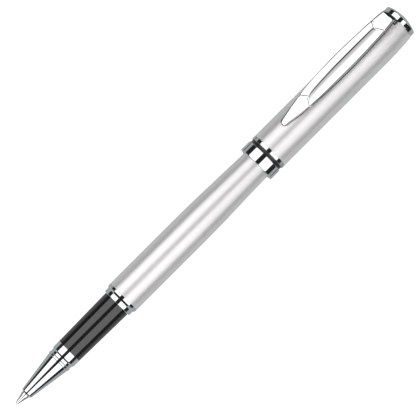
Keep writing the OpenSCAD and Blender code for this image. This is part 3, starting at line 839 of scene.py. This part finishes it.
def bar_rows(first, last, half, low, high, edge):
    """Rows of a small bar with rounded long edges, seen along the pen."""
    rows = []
    for s, inset in ((first, edge), (first + edge * 0.3, edge * 0.3), (first + edge, 0),
                     (last - edge, 0), (last - edge * 0.3, edge * 0.3), (last, edge)):
        row = []
        for y, z, a0 in ((half, high, 0), (half, low, 90), (-half, low, 180), (-half, high, 270)):
            cy = y - math.copysign(edge, y)
            cz = z - edge if z == high else z + edge
            for k in range(4):
                a = math.radians(a0 + 30 * k)
                row.append(point(s, cy + (edge - inset) * math.sin(a),
                                 cz + (edge - inset) * math.cos(a)))
        rows.append(row)
    return rows


def clip_place(place):
    """Row and distance across, on the clip's skin, of a point in the scene."""
    station, across = (place.x - TIP_X) / MM, place.y / MM
    return station - slant(station) * abs(across), across


def paint_flute_shade(arm):
    """Gives the flute's faces the chrome with painted shade, and every point its place across the
    flute.
    """
    arm.data.materials.append(FLUTE_CHROME_PAINTED_SHADE)
    values = arm.data.attributes.new(FLUTE_ACROSS, "FLOAT", "POINT").data
    for vert, value in zip(arm.data.vertices, values):
        value.value = flute_place(*clip_place(vert.co))
    for face in arm.data.polygons:
        height = (face.center.z - AXIS_Z) / MM
        if in_flute(*clip_place(face.center)) and height > FLUTE_FLOOR:
            face.material_index = 1


clip = add_piece("clip_arm", sweep_rows("clip_arm", clip_rows(), closed_rows=False),
                 "clip", CLIP_CHROME, sharp=14)
paint_flute_shade(clip)
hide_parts("clip")
tongue_rows = bar_rows(TONGUE_AT, CLIP_END, half=TONGUE_W / 2, low=TONGUE_FOOT,
                       high=CLIP_UNDER + 0.3, edge=0.1)
add_piece("clip_tongue", sweep_rows("clip_tongue", tongue_rows, closed_rows=False),
          "clip", CLIP_CHROME)


# ---------------------------------------------------------------- carried-over CAD nodes

CARRIED = {
    "writing_ball": CARBIDE, "refill_adapter": IVORY, "refill_tube": REFILL_METAL,
    "ink_reservoir": INK_FIBRE, "feed_wick": WICK_FIBRE, "refill_plug": BLACK_PLASTIC,
    "section_o_ring": RUBBER, "cap_liner": LINER, "tip_seal": RUBBER, "finial_stud": BRASS,
}
for node, material in CARRIED.items():
    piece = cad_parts[node]
    piece.data.materials.clear()
    piece.data.materials.append(material)


# ---------------------------------------------------------------- camera

VIEW_ANGLE = math.radians(26)    # the camera's side of the pen, measured from the clip's
TILT = math.radians(2.5)         # the view leans this far from square, towards the tip
ROLL = math.radians(44.94)       # slope of the pen in the picture
DISTANCE = 0.79
FOCAL = 241.8
AIM_STATION = 76.4
AIM_ABOVE = 0.00007              # the aim is this far from the axis, on the clip's side

along = Vector((1, 0, 0))
toward = Vector((0, -math.sin(VIEW_ANGLE), math.cos(VIEW_ANGLE)))
up = toward.cross(along)
back = (toward * math.cos(TILT) - along * math.sin(TILT)).normalized()
right = up.cross(back).normalized()
aim = point(AIM_STATION, 0, 0) + up * AIM_ABOVE
turned_right = right * math.cos(ROLL) - up * math.sin(ROLL)
turned_up = right * math.sin(ROLL) + up * math.cos(ROLL)
camera = bpy.data.objects.new("camera", bpy.data.cameras.new("camera"))
SCENE.collection.objects.link(camera)
pose = Matrix((turned_right, turned_up, back)).transposed().to_4x4()
pose.translation = aim + back * DISTANCE
camera.matrix_world = pose
camera.data.lens = FOCAL
camera.data.sensor_width = 36
camera.data.clip_start = 0.01
camera.data.clip_end = 20
SCENE.camera = camera
SCENE.view_settings.view_transform = "Standard"


# ---------------------------------------------------------------- studio

# brightness or colour of the two long softboxes, the dark studio and the pale surround
SOFTBOX = (1.75, 1.75, 1.75)
STUDIO_DARK = (0.024, 0.024, 0.024)
SURROUND = (0.468, 0.49, 0.495)
# angles round the pen, from the camera's side, positive towards the clip's side
GAP = (-10.5, 15.5)      # dark gap between the softboxes
SOFTBOX_END = 66.0       # far edge of each softbox
DARK_END = 98.0          # where the dark studio ends and the surround begins
SEAM_AT = (120.0, 127.0) # a dark seam in the surround, on both sides
FLAG_AT = 36.0           # a dark flag covers the lower softbox beyond this angle
SOFT_EDGE = 0.75         # half the width of every edge
# angles along the pen, positive towards the cap's end
LENGTH_END = 55.0        # how far the softboxes reach both ways
SEAM_LEAN = (2.6, 5.4)   # reach of the seam
FLAG_LEAN = (7.0, 13.0)  # reach of the flag over the lower softbox
REAR_FLAG = (14.5, 33.0) # reach of a second flag, across both softboxes


def studio_world():
    """Two long softboxes beside the camera, dark studio round them, pale surround behind."""
    world = bpy.data.worlds.new("studio")
    SCENE.world = world
    world.use_nodes = True
    nodes, links = world.node_tree.nodes, world.node_tree.links
    where = nodes.new("ShaderNodeTexCoord").outputs["Generated"]

    def dot(axis):
        node = nodes.new("ShaderNodeVectorMath")
        node.operation = "DOT_PRODUCT"
        links.new(where, node.inputs[0])
        node.inputs[1].default_value = axis
        return node.outputs["Value"]

    def maths(operation, *values):
        node = nodes.new("ShaderNodeMath")
        node.operation = operation
        for socket, value in zip(node.inputs, values):
            if isinstance(value, (int, float)):
                socket.default_value = value
            else:
                links.new(value, socket)
        return node.outputs[0]

    turn = maths("DIVIDE", maths("ARCTAN2", dot(up), dot(toward)), math.pi)
    lean = maths("DIVIDE", maths("ARCSINE", dot(along)), math.pi / 2)

    def by_angle(stops):
        """A colour that steps between brightnesses at angles round the pen."""
        ramp = nodes.new("ShaderNodeValToRGB")
        elements = ramp.color_ramp.elements
        elements.remove(elements[-1])
        elements[0].position = 0.0
        elements[0].color = (*SURROUND, 1)
        for edge, before, after in stops:
            elements.new(0.5 + (edge - SOFT_EDGE) / 360).color = (*before, 1)
            elements.new(0.5 + (edge + SOFT_EDGE) / 360).color = (*after, 1)
        links.new(maths("MULTIPLY_ADD", turn, 0.5, 0.5), ramp.inputs["Fac"])
        return ramp.outputs["Color"]

    def rises(value, edge, full):
        """0 below an angle and 1 above it; the value is 1 at the angle full."""
        step = nodes.new("ShaderNodeMapRange")
        step.inputs["From Min"].default_value = (edge - SOFT_EDGE) / full
        step.inputs["From Max"].default_value = (edge + SOFT_EDGE) / full
        links.new(value, step.inputs["Value"])
        return step.outputs["Result"]

    def strip(value, edges, full):
        """1 between two angles and 0 outside them."""
        beyond = maths("SUBTRACT", 1.0, rises(value, edges[1], full))
        return maths("MULTIPLY", rises(value, edges[0], full), beyond)

    def mixed(factor, first, second):
        """A colour that goes from first to second as factor goes from 0 to 1."""
        node = nodes.new("ShaderNodeMix")
        node.data_type = "RGBA"
        links.new(factor, node.inputs["Factor"])
        for name, value in (("A", first), ("B", second)):
            if isinstance(value, tuple):
                node.inputs[name].default_value = (*value, 1)
            else:
                links.new(value, node.inputs[name])
        return node.outputs["Result"]

    lit = by_angle([(-DARK_END, SURROUND, STUDIO_DARK), (-SOFTBOX_END, STUDIO_DARK, SOFTBOX),
                    (GAP[0], SOFTBOX, STUDIO_DARK), (GAP[1], STUDIO_DARK, SOFTBOX),
                    (SOFTBOX_END, SOFTBOX, STUDIO_DARK), (DARK_END, STUDIO_DARK, SURROUND)])
    unlit = by_angle([(-DARK_END, SURROUND, STUDIO_DARK), (DARK_END, STUDIO_DARK, SURROUND)])

    past = rises(maths("ABSOLUTE", lean), LENGTH_END, 90)
    low_flag = maths("MULTIPLY", rises(maths("MULTIPLY", turn, -1.0), FLAG_AT, 180),
                     strip(lean, FLAG_LEAN, 90))
    covered = maths("MAXIMUM", maths("MAXIMUM", past, low_flag), strip(lean, REAR_FLAG, 90))
    seam = maths("MULTIPLY", strip(maths("ABSOLUTE", turn), SEAM_AT, 180),
                 strip(lean, SEAM_LEAN, 90))
    lights = mixed(seam, mixed(covered, lit, unlit), STUDIO_DARK)
    seen = nodes.new("ShaderNodeLightPath").outputs["Is Camera Ray"]
    links.new(mixed(seen, lights, (1, 1, 1)), nodes["Background"].inputs["Color"])


FLOOR_SEEN = (0.94, 0.94, 0.94)  # glow of the floor to the camera
FLOOR_GLOW = (0.16, 0.16, 0.16)  # and to the pen
FLOOR_SIZE = 3.0
FLOOR_GAP = 0.00002              # below the pen


def studio_floor():
    """Plain pale floor, lit evenly from within so that it stays pale round the pen."""
    bm = bmesh.new()
    bmesh.ops.create_grid(bm, x_segments=1, y_segments=1, size=FLOOR_SIZE)
    mesh = bpy.data.meshes.new("floor")
    bm.to_mesh(mesh)
    bm.free()
    floor = bpy.data.objects.new("floor", mesh)
    floor.location.z = CAD_BOX[0][2] - FLOOR_GAP
    SCENE.collection.objects.link(floor)
    mat, nodes, links = new_material("floor_paper")
    shader = nodes["Principled BSDF"]
    shader.inputs["Roughness"].default_value = 0.9
    shader.inputs["Specular IOR Level"].default_value = 0.0
    shader.inputs["Emission Strength"].default_value = 1.0
    grain = noise(nodes, links, 60)
    links.new(blend_colours(nodes, links, grain, (0.30, 0.30, 0.30), (0.33, 0.33, 0.33)),
              shader.inputs["Base Color"])
    seen = nodes.new("ShaderNodeLightPath").outputs["Is Camera Ray"]
    glow = blend_colours(nodes, links, seen, FLOOR_GLOW, FLOOR_SEEN, 0.0, 1.0)
    links.new(glow, shader.inputs["Emission Color"])
    mesh.materials.append(mat)
    floor.visible_glossy = False


studio_world()
studio_floor()

bpy.context.view_layer.update()
